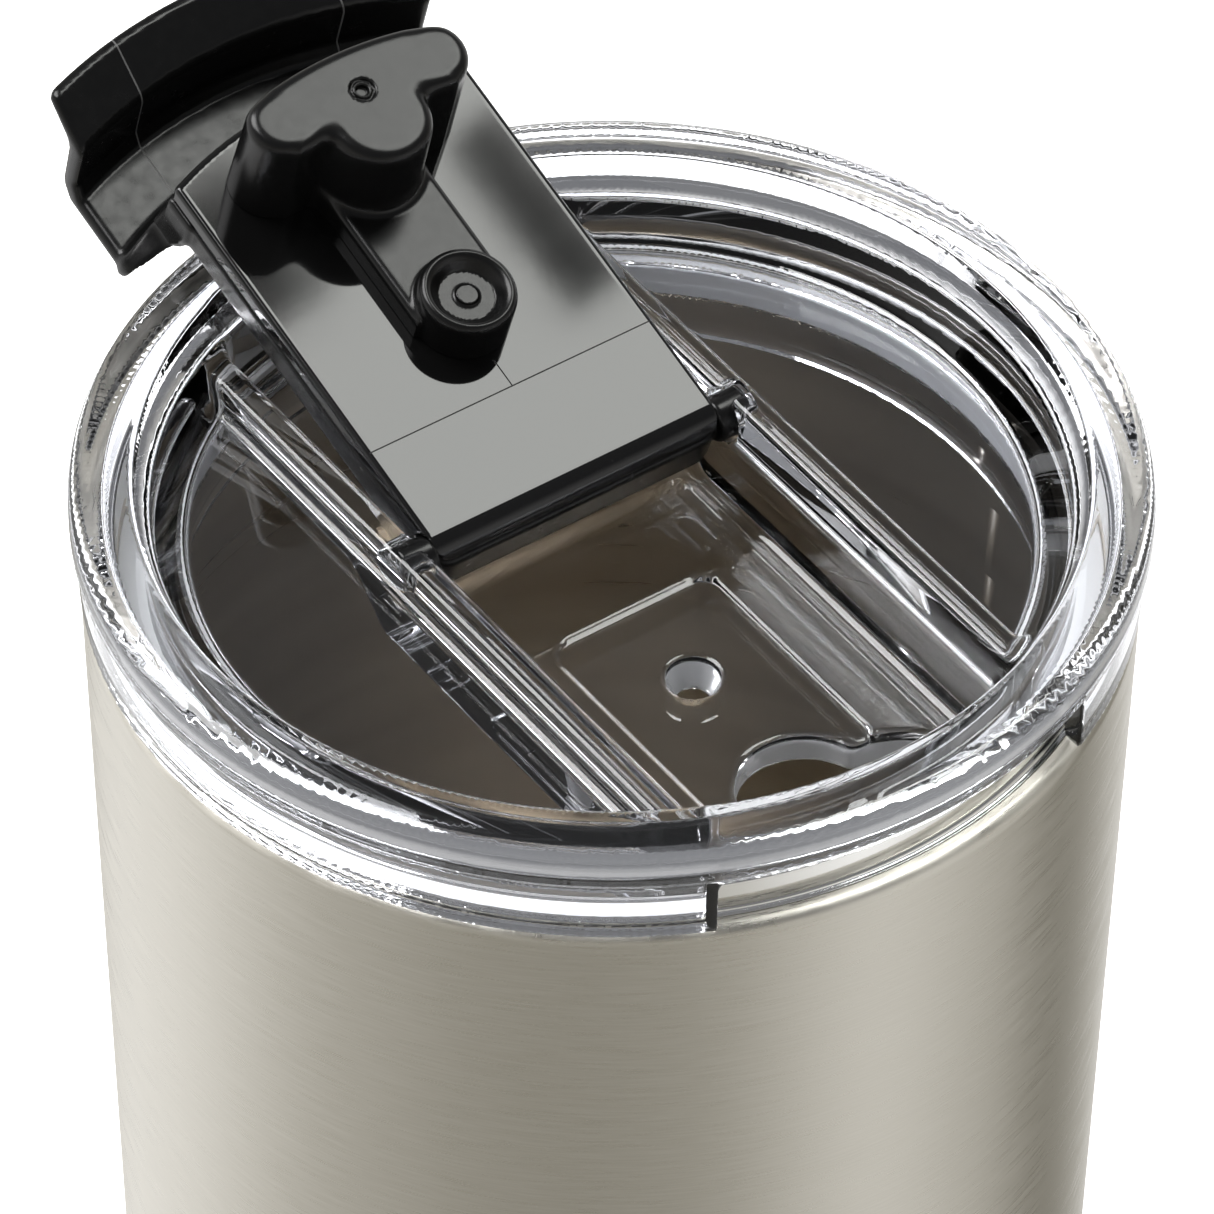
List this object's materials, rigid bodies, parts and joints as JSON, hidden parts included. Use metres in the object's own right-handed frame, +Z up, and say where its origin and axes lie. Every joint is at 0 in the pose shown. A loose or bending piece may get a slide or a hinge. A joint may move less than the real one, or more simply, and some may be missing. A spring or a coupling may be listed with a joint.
{
  "type": "insulated tumbler with flip lid",
  "caption": "Double-wall steel tumbler with a clear press-in lid and a hinged black flip cover whose stopper closes the drinking hole and the vent.",
  "frame": {"origin": "centre of the flat base, on the surface the tumbler stands on", "axes": "+Z up the cup's axis; the drinking side faces -Y; the cover's hinge runs along X"},
  "size_m": [0.0868, 0.1015, 0.1968],
  "materials": {
    "brushed_steel": "brushed around the body",
    "cup_steel": "turned, fine rings inside, polished at the neck",
    "base_steel": "satin",
    "getter_metal": "matte",
    "seal_glass": "fused bead",
    "clear_plastic": "clear moulded plastic, polished",
    "silicone": "translucent white, satin",
    "cover_black": "black, semi-gloss",
    "panel_black": "black, high gloss",
    "stopper_black": "black, satin"
  },
  "bodies": {
    "tumbler": {"outer_shell": "brushed_steel", "inner_liner": "cup_steel", "shell_base": "base_steel", "base_cap": "base_steel", "getter": "getter_metal", "vacuum_seal": "seal_glass"},
    "lid": {"lid_body": "clear_plastic", "lid_gasket": "silicone"},
    "flip": {"flip_cover": "cover_black", "cover_panel": "panel_black", "stopper": "stopper_black"}
  },
  "joints": [
    {"name": "lid_lift", "type": "slide", "parent": "tumbler", "child": "lid", "axis": [0, 0, 1], "range_m": [0, 0.04]},
    {"name": "flip_hinge", "type": "hinge", "parent": "lid", "child": "flip", "pos_m": [0, 0.0056, 0.1735], "axis": [1, 0, 0], "range_deg": [0, 162.3]}
  ]
}
